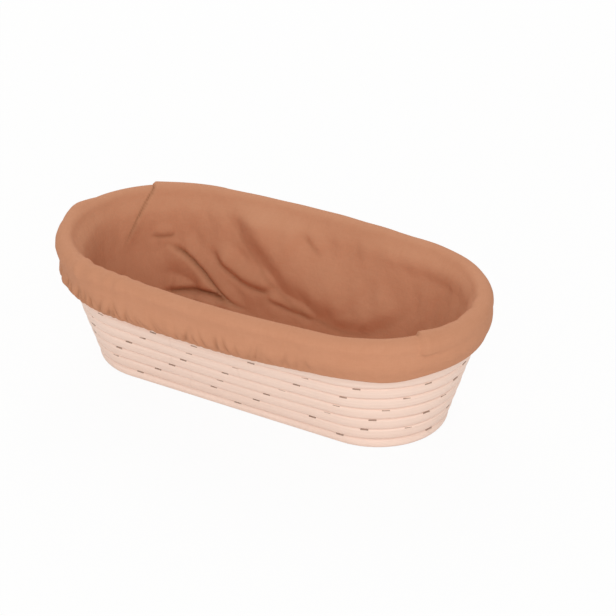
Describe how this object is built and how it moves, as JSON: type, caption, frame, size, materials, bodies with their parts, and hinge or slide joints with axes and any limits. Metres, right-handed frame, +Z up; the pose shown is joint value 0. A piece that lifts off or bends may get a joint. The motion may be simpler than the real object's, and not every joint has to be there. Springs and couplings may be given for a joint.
{
  "type": "proofing basket",
  "caption": "Oval rattan proofing basket wound from stapled cane, with a lift-out cloth liner whose elastic hem is turned down over the rim",
  "frame": {"origin": "middle of the base, on the surface the basket stands on", "axes": "+X along the length, +Y across it to the back, +Z up"},
  "size_m": [0.2786, 0.1478, 0.0823],
  "materials": {
    "cane": "peeled rattan, bare and matte",
    "staple": "dull dark wire",
    "cloth": "plain-woven cotton and linen",
    "elastic": "braided band"
  },
  "bodies": {
    "basket": {"front_core_cane": "cane", "back_core_cane": "cane", "base_coil": "cane", "lower_wall_coil": "cane", "middle_wall_coil": "cane", "upper_wall_coil": "cane", "base_staples": "staple", "lower_wall_staples": "staple", "middle_wall_staples": "staple", "upper_wall_staples": "staple"},
    "liner": {"liner_floor": "cloth", "liner_wall": "cloth", "liner_cuff": "cloth", "hem_elastic": "elastic"}
  },
  "joints": [
    {"name": "liner_lift", "type": "slide", "parent": "basket", "child": "liner", "axis": [0, 0, 1], "range_m": [0, 0.11], "deforming": ["liner_cuff", "hem_elastic"]}
  ]
}
